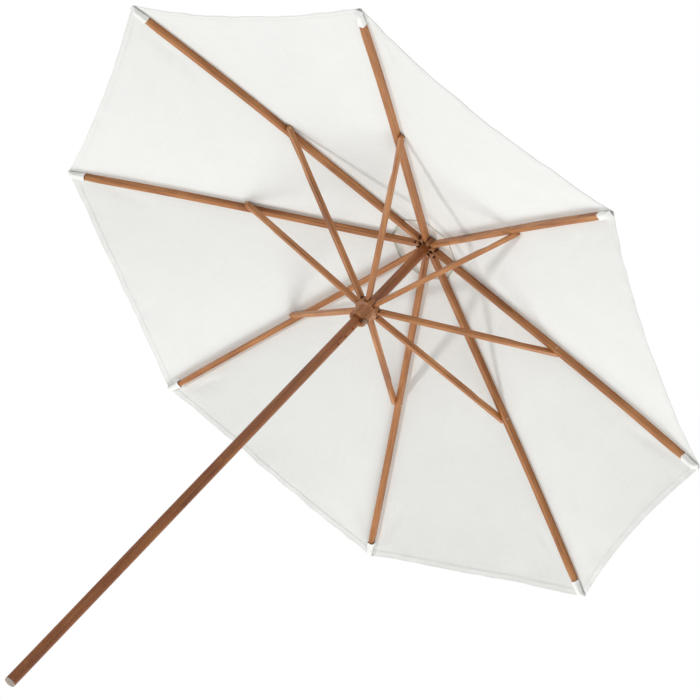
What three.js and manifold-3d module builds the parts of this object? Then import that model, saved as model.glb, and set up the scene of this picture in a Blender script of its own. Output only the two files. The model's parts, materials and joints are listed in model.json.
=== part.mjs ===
// A wooden market umbrella, open: pole, hub, runner, eight ribs, eight struts and a vented cloth canopy.
// Millimetres, +Z up, origin at the foot of the pole, rib 1 along +X and the others every 45 degrees.
import * as THREE from "three";
import { mergeVertices } from "three/addons/utils/BufferGeometryUtils.js";
import Module from "manifold-3d";

const wasm = await Module();
wasm.setup();

// ---------- driving dimensions ----------
const RIB_COUNT = 8;
const CANOPY_RADIUS = 1350;      // pole axis to a corner of the canopy
const HUB_HEIGHT = 2372;         // floor to the rib pivots
const OPEN_SLOPE = THREE.MathUtils.degToRad(16.6);
const JOINT_RADIUS = 668;        // pole axis to the pins that join ribs and struts
const RIB_BOW = 15;              // how far the canopy's pull bends a rib tip down

const POLE_RADIUS = 19;
const SPIGOT_STEP = 4;           // how much the pole is turned down to enter the hub
const LOCK_HOLE_RADIUS = 4;
const LOCK_HOLE_COUNT = 4;
const LOCK_HOLE_PITCH = 46;
const LOCK_AZIMUTH = THREE.MathUtils.degToRad(-67.5);

const RIB_WIDTH = 18;
const RIB_HEIGHT = 23;
const RIB_TIP_WIDTH = 14;
const RIB_TIP_HEIGHT = 13;
const RIB_TIP_TAPER = 110;       // length over which a rib thins towards its tip
const RIB_SETBACK = 14;          // canopy corner to the end of the wood
const STRUT_WIDTH = 16;
const STRUT_HEIGHT = 20;
const STRUT_RELIEF = 135;        // length planed flat beside the rib, so the strut folds past it
const RELIEF_RUNOUT = 40;
const TENON_WIDTH = 13;          // thinned end of a rib or strut, in its slot
const TENON_LENGTH = 15;
const TENON_SHOULDER = 4;        // length over which a bar thins to its tenon

const HUB_RIM = 7;               // wood outside the hub's pivots
const HUB_TEETH_DEPTH = 15;      // pivots to the lower end of the hub's teeth
const HUB_CROWN = 14;            // pivots to the roof of the hub's slots
const HUB_TOP = 24;              // pivots to the hub's flat top
const HUB_SHOULDER = 8;          // width of the slope round the hub's flat top
const SLEEVE_WALL = 3.2;         // wood between the pole's running bore and the runner's slots
const RUNNER_RIM = 10;           // wood outside the runner's pivots
const RUNNER_TOP = 13;           // pivots to the top of the runner's teeth
const RUNNER_FLOOR = 15;         // pivots down to the floor of the runner's slots
const RUNNER_FLANGE = 5;         // wood under the slots
const RUNNER_COVE = 13;          // height of the hollow between flange and waist
const RUNNER_WALL = 11;          // wall of the waist round the pole
const COLLAR_STEP = 4;           // how far the lower collar stands out from the waist
const COLLAR_HEIGHT = 14;
const RUNNER_DEPTH = 72;         // pivots to the runner's lower end
const WIRE_RADIUS = 2;
const PIN_RADIUS = 2.5;
const PIN_HEAD_RADIUS = 4.6;
const PIN_HEAD_HEIGHT = 2.2;

const CLOTH = 1.5;
const VENT_RADIUS = 135;         // corner radius of the opening round the hub
const CAP_LAP = 110;             // how far the vent cap reaches over the canopy
const CAP_RISE = 8;              // air gap between the vent cap and the canopy
const PATCH_LAP = 18;            // how far the top patch reaches over the vent cap
const PATCH_FALL = 3;
const POCKET_LENGTH = 54;
const POCKET_WALL = 1.5;

const FINIAL_RADIUS = 27;
const FINIAL_BASE = 10;          // height of the finial's foot
const FINIAL_NECK_RADIUS = 10;
const FINIAL_BALL_RADIUS = 19;
const FINIAL_HEIGHT = 74;
const SCREW_RADIUS = 4;
const SCREW_LENGTH = 60;
const FOOT_PLATE = 4;            // thickness of the foot plug's plate
const FOOT_STUB_RADIUS = 9;
const FOOT_STUB_LENGTH = 22;

const LOCK_KNOB_RADIUS = 9;
const LOCK_KNOB_LENGTH = 20;
const LOCK_PROUD = 6;            // how far the lock pin's tip stands out of the pole

// ---------- clearances ----------
const GAP = 0.3;                 // between pieces that touch
const RUN = 1;                   // runner on the pole, strut beside its rib, lock knob beside the collar
const SLOT_PLAY = 0.35;          // each side of a tenon in its slot
const END_PLAY = 0.8;            // rounded tenon end to the bottom of its slot
const HUB_SLOT_ROOM = 3;         // the hub's slots are sawn this much deeper than the tenons need
const CAP_CLEARANCE = 4;         // vent cap's inner edge to the hub
const EDGE = 1;                  // eased edges of turned pieces
const ROUND = 12;                // sides of small round pieces

// ---------- worked-out sizes ----------
const SECTOR = (2 * Math.PI) / RIB_COUNT;
const RUNNER_BORE = POLE_RADIUS + RUN;
const PIVOT_RADIUS = RUNNER_BORE + SLEEVE_WALL + END_PLAY + STRUT_HEIGHT / 2;   // pole axis to wire rings
const HUB_RADIUS = PIVOT_RADIUS + HUB_RIM;
const RUNNER_RADIUS = PIVOT_RADIUS + RUNNER_RIM;
const WAIST_RADIUS = RUNNER_BORE + RUNNER_WALL;
const COLLAR_RADIUS = WAIST_RADIUS + COLLAR_STEP;
const SPIGOT_RADIUS = POLE_RADIUS - SPIGOT_STEP;
const CAP_INNER_RADIUS = HUB_RADIUS + CAP_CLEARANCE;
const CAP_OUTER_RADIUS = VENT_RADIUS + CAP_LAP;
const ARM = (JOINT_RADIUS - PIVOT_RADIUS) / Math.cos(OPEN_SLOPE);   // pivot to pin, on ribs and struts alike
const RUNNER_DROP = 2 * ARM * Math.sin(OPEN_SLOPE);
const RIB_LENGTH = (CANOPY_RADIUS - RIB_SETBACK - PIVOT_RADIUS) / Math.cos(OPEN_SLOPE);
const LAP = RIB_WIDTH / 2 + RUN + STRUT_WIDTH / 2;   // rib's middle to strut's middle at the pin
const SIDE_FALL = Math.tan(SECTOR / 2) * Math.tan(OPEN_SLOPE);        // how fast the cloth drops beside a rib
const STRUT_FALL = (LAP + STRUT_WIDTH / 2) * SIDE_FALL - (RIB_HEIGHT - STRUT_HEIGHT) / 2;
const RIDGE_LIFT = Math.max((RIB_WIDTH / 2) * SIDE_FALL, STRUT_FALL) + 2 * GAP;   // the cloth clears both
const CAP_LIFT = RIDGE_LIFT + CLOTH + CAP_RISE;
const LOCK_HEIGHT = HUB_HEIGHT - RUNNER_DROP - RUNNER_DEPTH - RUN - LOCK_HOLE_RADIUS;
const SLOT_WIDTH = TENON_WIDTH + 2 * SLOT_PLAY;

// ---------- solids ----------
function toSolid(geometry) {
  const bare = geometry.clone();
  bare.deleteAttribute("normal");
  bare.deleteAttribute("uv");
  const merged = mergeVertices(bare, 1e-4);
  const vertProperties = new Float32Array(merged.attributes.position.array);
  const triVerts = new Uint32Array(merged.index.array);
  return new wasm.Manifold(new wasm.Mesh({ numProp: 3, vertProperties, triVerts }));
}

function toGeometry(solid) {
  const mesh = solid.getMesh();
  const geometry = new THREE.BufferGeometry();
  geometry.setAttribute("position", new THREE.BufferAttribute(new Float32Array(mesh.vertProperties), 3));
  geometry.setIndex(new THREE.BufferAttribute(new Uint32Array(mesh.triVerts), 1));
  geometry.computeVertexNormals();
  return geometry;
}

// A turned body: points are [radius, z], closed on themselves or starting and ending on the axis.
function turned(points, sides) {
  const profile = points.map(([r, z]) => new THREE.Vector2(r, z));
  return new THREE.LatheGeometry(profile, sides).rotateX(Math.PI / 2);
}

// An outline in the upright plane of a rib (x outwards, z up), given a width across that plane.
function upright(outline, width) {
  const geometry = new THREE.ExtrudeGeometry(outline, { depth: width, bevelEnabled: false });
  return geometry.rotateX(Math.PI / 2).translate(0, width / 2, 0);
}

// An outline seen from above (x, y), given a height.
function flat(outline, height) {
  const geometry = new THREE.ExtrudeGeometry(outline, { depth: height, bevelEnabled: false });
  return geometry.translate(0, 0, -height / 2);
}

function polygon(points) {
  return new THREE.Shape(points.map(([x, y]) => new THREE.Vector2(x, y)));
}

// A rod across a rib's plane (along y) at a point of that plane.
function crossRod(radius, length, x, z) {
  return new THREE.CylinderGeometry(radius, radius, length, ROUND).translate(x, 0, z);
}

// The octagonal wire whose straight sides are the rib or strut pivots.
function wireRing(radius) {
  const corner = PIVOT_RADIUS / Math.cos(SECTOR / 2);
  return new THREE.TorusGeometry(corner, radius, 10, RIB_COUNT).rotateZ(SECTOR / 2);
}

function slotCutter(innerRadius, low, high) {
  const reach = 2 * RUNNER_RADIUS;
  const box = new THREE.BoxGeometry(reach, SLOT_WIDTH, high - low);
  return box.translate(innerRadius + reach / 2, 0, (low + high) / 2);
}

function cutSlots(body, innerRadius, low, high) {
  let result = body;
  for (let i = 0; i < RIB_COUNT; i += 1) {
    result = result.subtract(toSolid(slotCutter(innerRadius, low, high).rotateZ(i * SECTOR)));
  }
  return result;
}

// ---------- materials ----------
const wood = new THREE.MeshStandardMaterial({ color: 0xa5643c, roughness: 0.55, metalness: 0 });
const poleWood = new THREE.MeshStandardMaterial({ color: 0x96552d, roughness: 0.5, metalness: 0 });
const cloth = new THREE.MeshStandardMaterial({ color: 0xe9e8e2, roughness: 0.9, metalness: 0 });
const brass = new THREE.MeshStandardMaterial({ color: 0xb59a5c, roughness: 0.35, metalness: 1 });
const steel = new THREE.MeshStandardMaterial({ color: 0xb9bcc0, roughness: 0.35, metalness: 1 });
const plastic = new THREE.MeshStandardMaterial({ color: 0xc9c8c4, roughness: 0.6, metalness: 0 });

function part(name, geometry, material) {
  const mesh = new THREE.Mesh(geometry, material.clone());
  mesh.name = name;
  return mesh;
}

// ---------- pole and its foot ----------
function lockRod(radius, length) {
  return new THREE.CylinderGeometry(radius, radius, length, ROUND).rotateZ(Math.PI / 2).rotateZ(LOCK_AZIMUTH);
}

function pole() {
  const shoulder = HUB_HEIGHT - HUB_TEETH_DEPTH - GAP;
  const top = HUB_HEIGHT + HUB_TOP - 2 * GAP;
  const bottom = FOOT_PLATE + GAP;
  const stubHole = FOOT_PLATE + FOOT_STUB_LENGTH + GAP;
  const screwHole = HUB_HEIGHT + HUB_TOP - SCREW_LENGTH / 2 - GAP;
  const profile = [
    [0, stubHole], [FOOT_STUB_RADIUS + GAP, stubHole], [FOOT_STUB_RADIUS + GAP, bottom],
    [POLE_RADIUS, bottom], [POLE_RADIUS, shoulder], [SPIGOT_RADIUS, shoulder],
    [SPIGOT_RADIUS, top], [SCREW_RADIUS + GAP, top], [SCREW_RADIUS + GAP, screwHole], [0, screwHole],
  ];
  let body = toSolid(turned(profile, 32));
  for (let i = 0; i < LOCK_HOLE_COUNT; i += 1) {
    const hole = lockRod(LOCK_HOLE_RADIUS + GAP, 3 * POLE_RADIUS);
    body = body.subtract(toSolid(hole.translate(0, 0, LOCK_HEIGHT - i * LOCK_HOLE_PITCH)));
  }
  return part("pole", toGeometry(body), poleWood);
}

// A plug with a flat plate as wide as the pole and a stub up inside it.
function footCap() {
  const stubTop = FOOT_PLATE + FOOT_STUB_LENGTH;
  const profile = [
    [0, 0], [POLE_RADIUS - EDGE, 0], [POLE_RADIUS, EDGE], [POLE_RADIUS, FOOT_PLATE],
    [FOOT_STUB_RADIUS, FOOT_PLATE], [FOOT_STUB_RADIUS, stubTop - EDGE], [FOOT_STUB_RADIUS - EDGE, stubTop],
    [0, stubTop],
  ];
  return part("foot_cap", turned(profile, 32), plastic);
}

// ---------- hub, runner and their wires ----------
function hub() {
  const bore = SPIGOT_RADIUS + GAP;
  const low = -HUB_TEETH_DEPTH;
  const eased = HUB_RIM;
  const profile = [
    [bore, low], [HUB_RADIUS - eased, low], [HUB_RADIUS - eased / 2, low + eased / 4],
    [HUB_RADIUS, low + eased],
    [HUB_RADIUS, HUB_CROWN + 2 * EDGE], [HUB_RADIUS - EDGE, HUB_CROWN + 4 * EDGE],
    [HUB_RADIUS - HUB_SHOULDER, HUB_TOP], [bore, HUB_TOP], [bore, low],
  ];
  const slotInner = PIVOT_RADIUS - RIB_HEIGHT / 2 - END_PLAY - HUB_SLOT_ROOM;
  let body = toSolid(turned(profile, 32));
  body = cutSlots(body, slotInner, 2 * low, HUB_CROWN);
  body = body.subtract(toSolid(wireRing(WIRE_RADIUS + GAP)));
  return part("hub", toGeometry(body), wood);
}

function runner() {
  const bore = RUNNER_BORE;
  const low = -RUNNER_DEPTH;
  const flange = -RUNNER_FLOOR - RUNNER_FLANGE;
  const waistTop = flange - RUNNER_COVE;
  const collar = low + COLLAR_HEIGHT;
  const eased = 0.7 * RUNNER_RIM;
  const profile = [
    [bore, low], [WAIST_RADIUS - EDGE, low], [COLLAR_RADIUS - 2 * EDGE, low + EDGE],
    [COLLAR_RADIUS, low + COLLAR_HEIGHT / 3], [COLLAR_RADIUS, collar - COLLAR_HEIGHT / 3],
    [COLLAR_RADIUS - EDGE, collar - 2 * EDGE], [WAIST_RADIUS, collar], [WAIST_RADIUS, waistTop],
    [WAIST_RADIUS + EDGE, flange - RUNNER_COVE / 2], [WAIST_RADIUS + 4 * EDGE, flange - RUNNER_COVE / 4],
    [RUNNER_RADIUS - 2 * EDGE, flange], [RUNNER_RADIUS, flange + 4 * EDGE],
    [RUNNER_RADIUS, RUNNER_TOP - eased], [RUNNER_RADIUS - 2 * EDGE, RUNNER_TOP - 2 * EDGE],
    [RUNNER_RADIUS - eased, RUNNER_TOP], [bore, RUNNER_TOP], [bore, low],
  ];
  const slotInner = PIVOT_RADIUS - STRUT_HEIGHT / 2 - END_PLAY;
  let body = toSolid(turned(profile, 32));
  body = cutSlots(body, slotInner, -RUNNER_FLOOR, 2 * RUNNER_TOP);
  body = body.subtract(toSolid(wireRing(WIRE_RADIUS + GAP)));
  return part("runner", toGeometry(body), wood);
}

// ---------- ribs, struts and the pins between them ----------
// How far the rib's middle line lies below a straight one, at a distance from the hub pivot.
function bow(distance) {
  const outer = Math.max(0, distance - ARM) / (RIB_LENGTH - ARM);
  return RIB_BOW * outer * outer;
}

function ribHalfHeight(distance) {
  const left = Math.min(1, (RIB_LENGTH - distance) / RIB_TIP_TAPER);
  return (RIB_TIP_HEIGHT + (RIB_HEIGHT - RIB_TIP_HEIGHT) * left) / 2;
}

// Places a bar made from its pivot outwards onto the open rib's line.
function alongRib(geometry) {
  return geometry.rotateY(OPEN_SLOPE).translate(PIVOT_RADIUS, 0, 0);
}

function alongStrut(geometry) {
  const x = JOINT_RADIUS;
  const z = -ARM * Math.sin(OPEN_SLOPE);
  return geometry.rotateY(Math.PI - OPEN_SLOPE).translate(x, 0, z);
}

function ribOutline() {
  const steps = 6;
  const upper = [];
  const lower = [];
  for (let i = 0; i <= steps; i += 1) {
    const taperStart = RIB_LENGTH - RIB_TIP_TAPER;
    const distance = i < steps ? ARM + ((taperStart - ARM) * i) / (steps - 1) : RIB_LENGTH;
    upper.push([distance, ribHalfHeight(distance) - bow(distance)]);
    lower.unshift([distance, -ribHalfHeight(distance) - bow(distance)]);
  }
  return polygon([[0, RIB_HEIGHT / 2], ...upper, ...lower, [0, -RIB_HEIGHT / 2]].reverse());
}

function rib(number) {
  const half = RIB_WIDTH / 2;
  const tenon = TENON_WIDTH / 2;
  const tip = RIB_TIP_WIDTH / 2;
  const shoulder = TENON_LENGTH + TENON_SHOULDER;
  const planTop = [
    [-RIB_HEIGHT, tenon], [TENON_LENGTH, tenon], [shoulder, half], [RIB_LENGTH - RIB_TIP_TAPER, half],
    [RIB_LENGTH + EDGE, tip],
  ];
  const planBottom = planTop.map(([x, y]) => [x, -y]);
  const plan = toSolid(flat(polygon([...planBottom, ...planTop.reverse()]), 4 * RIB_HEIGHT));
  const eye = toSolid(crossRod(RIB_HEIGHT / 2, RIB_WIDTH, 0, 0));
  let body = toSolid(upright(ribOutline(), RIB_WIDTH)).add(eye).intersect(plan);
  body = body.subtract(toSolid(crossRod(WIRE_RADIUS + GAP, 2 * RIB_WIDTH, 0, 0)));
  body = body.subtract(toSolid(crossRod(PIN_RADIUS + GAP, 2 * RIB_WIDTH, ARM, 0)));
  return part(`rib_${number}`, alongRib(toGeometry(body)), wood);
}

// The strut is drawn from its outer pin (x = 0) to its runner pivot (x = ARM); y is towards its own side.
function strut(number) {
  const half = STRUT_WIDTH / 2;
  const tenon = TENON_WIDTH / 2;
  const middle = (x) => LAP * (1 - x / ARM);
  const flatSide = LAP - half;
  const reliefEnd = STRUT_RELIEF + RELIEF_RUNOUT;
  const shoulder = ARM - TENON_LENGTH;
  const taper = shoulder - TENON_SHOULDER;
  const end = ARM + STRUT_HEIGHT;
  const outline = [
    [-STRUT_HEIGHT, flatSide], [STRUT_RELIEF, flatSide], [reliefEnd, middle(reliefEnd) - half],
    [taper, middle(shoulder) - half], [shoulder, -tenon], [end, -tenon], [end, tenon],
    [shoulder, tenon], [taper, middle(shoulder) + half], [-STRUT_HEIGHT, middle(-STRUT_HEIGHT) + half],
  ];
  const plan = toSolid(flat(polygon(outline), 3 * STRUT_HEIGHT));
  const wide = 6 * STRUT_WIDTH;
  const bar = toSolid(new THREE.BoxGeometry(ARM, wide, STRUT_HEIGHT).translate(ARM / 2, 0, 0));
  const outerEnd = toSolid(crossRod(STRUT_HEIGHT / 2, wide, 0, 0));
  const innerEnd = toSolid(crossRod(STRUT_HEIGHT / 2, wide, ARM, 0));
  let body = bar.add(outerEnd).add(innerEnd).intersect(plan);
  body = body.subtract(toSolid(crossRod(WIRE_RADIUS + GAP, wide, ARM, 0)));
  body = body.subtract(toSolid(crossRod(PIN_RADIUS + GAP, wide, 0, 0)));
  return part(`strut_${number}`, alongStrut(toGeometry(body)), wood);
}

function strutPin(number) {
  const low = -RIB_WIDTH / 2 - GAP;
  const high = LAP + STRUT_WIDTH / 2 + 2 * GAP;
  const crown = PIN_HEAD_RADIUS - PIN_HEAD_HEIGHT + EDGE / 2;
  const rim = PIN_HEAD_HEIGHT / 3;
  const profile = [
    [0, low - PIN_HEAD_HEIGHT], [crown, low - PIN_HEAD_HEIGHT], [PIN_HEAD_RADIUS, low - rim],
    [PIN_HEAD_RADIUS, low], [PIN_RADIUS, low], [PIN_RADIUS, high], [PIN_HEAD_RADIUS, high],
    [PIN_HEAD_RADIUS, high + rim], [crown, high + PIN_HEAD_HEIGHT], [0, high + PIN_HEAD_HEIGHT],
  ];
  const points = profile.map(([r, y]) => new THREE.Vector2(r, y));
  const geometry = new THREE.LatheGeometry(points, ROUND).translate(ARM, 0, 0);
  return part(`strut_pin_${number}`, alongRib(geometry), brass);
}

// ---------- canopy ----------
// Height of the top of the open rib above its pivots, at a distance from the pole axis.
function ribTop(radius) {
  const distance = (radius - PIVOT_RADIUS) / Math.cos(OPEN_SLOPE);
  const across = RIB_HEIGHT / 2 / Math.cos(OPEN_SLOPE);
  return across - distance * Math.sin(OPEN_SLOPE) - bow(distance) / Math.cos(OPEN_SLOPE);
}

// A band of cloth over one rib, reaching half-way to its neighbours, with its ridge along the rib.
function clothBand(inner, outer, rise, steps) {
  const under = [];
  for (let i = 0; i <= steps; i += 1) {
    const radius = inner + ((outer - inner) * i) / steps;
    under.push([radius, ribTop(radius) + rise]);
  }
  const over = under.map(([r, z]) => [r, z + CLOTH]).reverse();
  const ring = turned([...under, ...over, under[0]], RIB_COUNT);
  const reach = 1.5 * outer;
  const side = reach * Math.tan(SECTOR / 2);
  const tip = GAP / 2 / Math.sin(SECTOR / 2);
  const wedge = polygon([[tip, 0], [reach + tip, -side], [reach + tip, side]]);
  return toGeometry(toSolid(ring).intersect(toSolid(flat(wedge, 4 * HUB_HEIGHT))));
}

function gore(number) {
  return part(`gore_${number}`, clothBand(VENT_RADIUS, CANOPY_RADIUS, RIDGE_LIFT, 9), cloth);
}

function capGore(number) {
  return part(`vent_cap_${number}`, clothBand(CAP_INNER_RADIUS, CAP_OUTER_RADIUS, CAP_LIFT, 2), cloth);
}

function ribHalfWidth(distance) {
  const left = Math.min(1, (RIB_LENGTH - distance) / RIB_TIP_TAPER);
  return (RIB_TIP_WIDTH + (RIB_WIDTH - RIB_TIP_WIDTH) * left) / 2;
}

// An upright block round the end of a rib, so far outside the wood at the sides and below, up to two heights.
function ribEndBlock(start, end, outside, highStart, highEnd) {
  const low = (x) => -bow(Math.min(x, RIB_LENGTH)) - ribHalfHeight(Math.min(x, RIB_LENGTH)) - outside;
  const side = (x) => ribHalfWidth(Math.min(x, RIB_LENGTH)) + outside;
  const elevation = polygon([[start, low(start)], [end, low(end)], [end, highEnd], [start, highStart]]);
  const plan = polygon([[start, -side(start)], [end, -side(end)], [end, side(end)], [start, side(start)]]);
  const standing = toSolid(upright(elevation, 3 * RIB_WIDTH));
  return standing.intersect(toSolid(flat(plan, 9 * RIB_HEIGHT)));
}

// The sewn pocket that the end of a rib sits in, open towards the hub and closed above by the canopy.
function pocket(number) {
  const start = RIB_LENGTH - POCKET_LENGTH;
  const inner = RIB_LENGTH + GAP;
  const end = inner + POCKET_WALL;
  const rim = (x) => ribHalfHeight(Math.min(x, RIB_LENGTH)) - bow(Math.min(x, RIB_LENGTH)) - GAP;
  const outside = ribEndBlock(start, end, GAP + POCKET_WALL, rim(start), rim(end));
  const cavity = ribEndBlock(start - POCKET_WALL, inner, GAP, RIB_HEIGHT, RIB_HEIGHT);
  return part(`rib_pocket_${number}`, alongRib(toGeometry(outside.subtract(cavity))), cloth);
}

// ---------- top of the umbrella ----------
function topPatch() {
  const bore = SCREW_RADIUS + GAP;
  const under = HUB_TOP + GAP;
  const rest = HUB_RADIUS - HUB_SHOULDER;
  const overCap = ribTop(CAP_INNER_RADIUS) + CAP_LIFT + CLOTH + GAP;
  const edge = CAP_INNER_RADIUS + PATCH_LAP;
  const lower = [[bore, under], [rest, under], [CAP_INNER_RADIUS, overCap], [edge, overCap - PATCH_FALL]];
  const upper = lower.map(([r, z]) => [r, z + CLOTH]).reverse();
  const profile = [...lower, ...upper, lower[0]];
  return part("top_patch", turned(profile, 32), cloth);
}

function finial() {
  const base = HUB_TOP + 2 * GAP + CLOTH;
  const bore = SCREW_RADIUS + GAP;
  const depth = base + SCREW_LENGTH / 2 + GAP;
  const foot = base + FINIAL_BASE;
  const nib = 4 * EDGE;
  const ballCentre = base + FINIAL_HEIGHT - FINIAL_BALL_RADIUS - nib;
  const neckAngle = -Math.acos(FINIAL_NECK_RADIUS / FINIAL_BALL_RADIUS);
  const nibAngle = Math.PI / 2 - nib / FINIAL_BALL_RADIUS;
  const steps = 8;
  const profile = [
    [bore, base], [FINIAL_RADIUS - 2 * EDGE, base], [FINIAL_RADIUS, base + 2 * EDGE],
    [FINIAL_RADIUS, foot - 3 * EDGE], [FINIAL_RADIUS - 3 * EDGE, foot],
    [FINIAL_NECK_RADIUS + 5 * EDGE, foot + 3 * EDGE], [FINIAL_NECK_RADIUS + EDGE, foot + 8 * EDGE],
  ];
  for (let i = 0; i <= steps; i += 1) {
    const angle = neckAngle + ((nibAngle - neckAngle) * i) / steps;
    const out = FINIAL_BALL_RADIUS * Math.cos(angle);
    profile.push([out, ballCentre + FINIAL_BALL_RADIUS * Math.sin(angle)]);
  }
  profile.push([0, base + FINIAL_HEIGHT], [0, depth], [bore, depth], [bore, base]);
  return part("finial", turned(profile, 24), wood);
}

function finialScrew() {
  const screw = new THREE.CylinderGeometry(SCREW_RADIUS, SCREW_RADIUS, SCREW_LENGTH - 2 * EDGE, ROUND);
  return part("finial_screw", screw.rotateX(Math.PI / 2).translate(0, 0, HUB_TOP), steel);
}

// ---------- lock pin under the runner ----------
function lockPin() {
  const tip = POLE_RADIUS + LOCK_PROUD;
  const head = COLLAR_RADIUS + RUN;
  const end = head + LOCK_KNOB_LENGTH;
  const flange = LOCK_KNOB_RADIUS - EDGE;
  const neck = flange - 1.5 * EDGE;
  const profile = [
    [0, -tip], [LOCK_HOLE_RADIUS - EDGE, -tip], [LOCK_HOLE_RADIUS, -tip + EDGE], [LOCK_HOLE_RADIUS, head],
    [flange - EDGE, head], [flange, head + EDGE], [flange, head + 4 * EDGE], [neck, head + 6 * EDGE],
    [neck, end - 11 * EDGE], [LOCK_KNOB_RADIUS, end - 7 * EDGE], [LOCK_KNOB_RADIUS, end - 4 * EDGE],
    [LOCK_KNOB_RADIUS - 3 * EDGE, end - EDGE], [0, end],
  ];
  const points = profile.map(([r, y]) => new THREE.Vector2(r, y));
  const geometry = new THREE.LatheGeometry(points, ROUND).rotateZ(-Math.PI / 2).rotateZ(LOCK_AZIMUTH);
  return part("lock_pin", geometry, brass);
}

// ---------- assembly ----------
const group = new THREE.Group();
group.add(pole(), footCap());

const crown = new THREE.Group();
crown.position.z = HUB_HEIGHT;
crown.add(hub(), part("hub_wire", wireRing(WIRE_RADIUS), steel), topPatch(), finial(), finialScrew());
group.add(crown);

const slider = new THREE.Group();
slider.position.z = HUB_HEIGHT - RUNNER_DROP;
slider.add(runner(), part("runner_wire", wireRing(WIRE_RADIUS), steel));
group.add(slider);

const lock = new THREE.Group();
lock.position.z = LOCK_HEIGHT;
lock.add(lockPin());
group.add(lock);

for (let i = 0; i < RIB_COUNT; i += 1) {
  const spoke = new THREE.Group();
  const number = i + 1;
  spoke.position.z = HUB_HEIGHT;
  spoke.rotation.z = i * SECTOR;
  spoke.add(rib(number), strut(number), strutPin(number), pocket(number), gore(number), capGore(number));
  group.add(spoke);
}

export default group;
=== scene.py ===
# %% [markdown]
# # A wooden market umbrella
# The object is a garden umbrella seen from under its canopy: a turned pole, a slotted hub, a sliding
# runner, eight ribs, eight struts and an off-white canvas canopy with a vent at its top. Everything that
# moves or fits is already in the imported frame, in metres, with +Z up the pole. This lesson builds the looks
# round it: rounded wood, sewn canvas, metal pins and the light.

# %% Load the frame
import json
import math
import random

import bmesh
import bpy
from mathutils import Matrix, Vector, noise


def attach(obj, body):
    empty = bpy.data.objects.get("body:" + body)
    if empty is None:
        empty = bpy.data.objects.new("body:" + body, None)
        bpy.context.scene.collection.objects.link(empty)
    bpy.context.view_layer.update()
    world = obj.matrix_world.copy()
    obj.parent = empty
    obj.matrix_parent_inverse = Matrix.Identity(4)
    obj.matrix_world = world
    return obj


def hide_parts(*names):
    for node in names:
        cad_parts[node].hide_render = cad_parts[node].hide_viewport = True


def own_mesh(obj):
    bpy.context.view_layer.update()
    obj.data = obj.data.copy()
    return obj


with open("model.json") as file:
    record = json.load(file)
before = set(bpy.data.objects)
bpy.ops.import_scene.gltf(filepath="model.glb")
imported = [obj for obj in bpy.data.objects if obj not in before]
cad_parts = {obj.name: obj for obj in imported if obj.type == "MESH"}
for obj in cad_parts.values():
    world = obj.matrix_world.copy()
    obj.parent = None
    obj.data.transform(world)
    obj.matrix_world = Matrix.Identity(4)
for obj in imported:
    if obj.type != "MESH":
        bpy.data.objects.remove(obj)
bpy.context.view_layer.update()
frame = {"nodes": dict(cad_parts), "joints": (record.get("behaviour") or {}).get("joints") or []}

# %% [markdown]
# ## Sizes from the frame
# The joints say where the wood turns, so every length of the linkage can be worked out from three of them:
# the rib's hinge in the hub, the pin between rib and strut, and the strut's hinge in the runner. Only what
# the frame can't tell, such as a bar's section, is written here as a value of its own.

# %% Sizes
JOINTS = {joint["name"]: joint for joint in frame["joints"]}
HINGE = Vector(JOINTS["canopy_fold"]["pos_m"])
PIN = Vector(JOINTS["strut_1_pivot"]["pos_m"])
SLIDE = Vector(JOINTS["runner_pivot"]["pos_m"])
RIBS = 8
SECTOR = 2 * math.pi / RIBS
PIVOT_RADIUS = HINGE.x
HUB_Z = HINGE.z
RUNNER_Z = SLIDE.z
SLOPE = math.atan2(HINGE.z - PIN.z, PIN.x - HINGE.x)
ARM = (PIN - HINGE).length
RIB_HEIGHT = 0.023
RIB_SETBACK = 0.014
RIB_BOW = 0.015
CANOPY_RADIUS = 1.35
VENT_RADIUS = 0.135
RIB_LENGTH = (CANOPY_RADIUS - RIB_SETBACK - PIVOT_RADIUS) / math.cos(SLOPE)
print("slope", round(math.degrees(SLOPE), 2), "arm", round(ARM, 4), "rib", round(RIB_LENGTH, 4))

# %% [markdown]
# ## Small helpers
# A bmesh becomes an object in one place, so that every piece gets its body, its slot and its shading the
# same way. Edges sharper than a given angle stay crisp, and the faces between them are shaded smooth.

# %% From bmesh to piece
CREASE = math.radians(32)
NO_CREASE = math.pi


def to_piece(bm, name, material, body, crease=CREASE, inner=None):
    for face in bm.faces:
        face.smooth = True
    for edge in bm.edges:
        edge.smooth = len(edge.link_faces) == 2 and edge.calc_face_angle(0) < crease
    mesh = bpy.data.meshes.new(name)
    bm.to_mesh(mesh)
    bm.free()
    mesh.materials.append(material)
    if inner:
        mesh.materials.append(inner)
    piece = bpy.data.objects.new(name, mesh)
    bpy.context.scene.collection.objects.link(piece)
    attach(piece, body)
    return piece


def rib_angle(number):
    return (number - 1) * SECTOR


def outwards(number):
    return Vector((math.cos(rib_angle(number)), math.sin(rib_angle(number)), 0))


def sideways(number):
    return Vector((-math.sin(rib_angle(number)), math.cos(rib_angle(number)), 0))


# %% [markdown]
# ## Camera
# The umbrella is looked at from below and a little to one side, with the camera rolled so that the pole
# runs down to the lower left corner. The camera is placed by where it looks, how far away it is, and its
# roll.

# %% Camera
AIM = Vector((0.158, 0.364, 2.08))
DISTANCE = 9.6
HEADING = math.radians(15.35)
RISE = math.radians(34.85)
ROLL = math.radians(43.5)
LENS = 133.5

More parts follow.
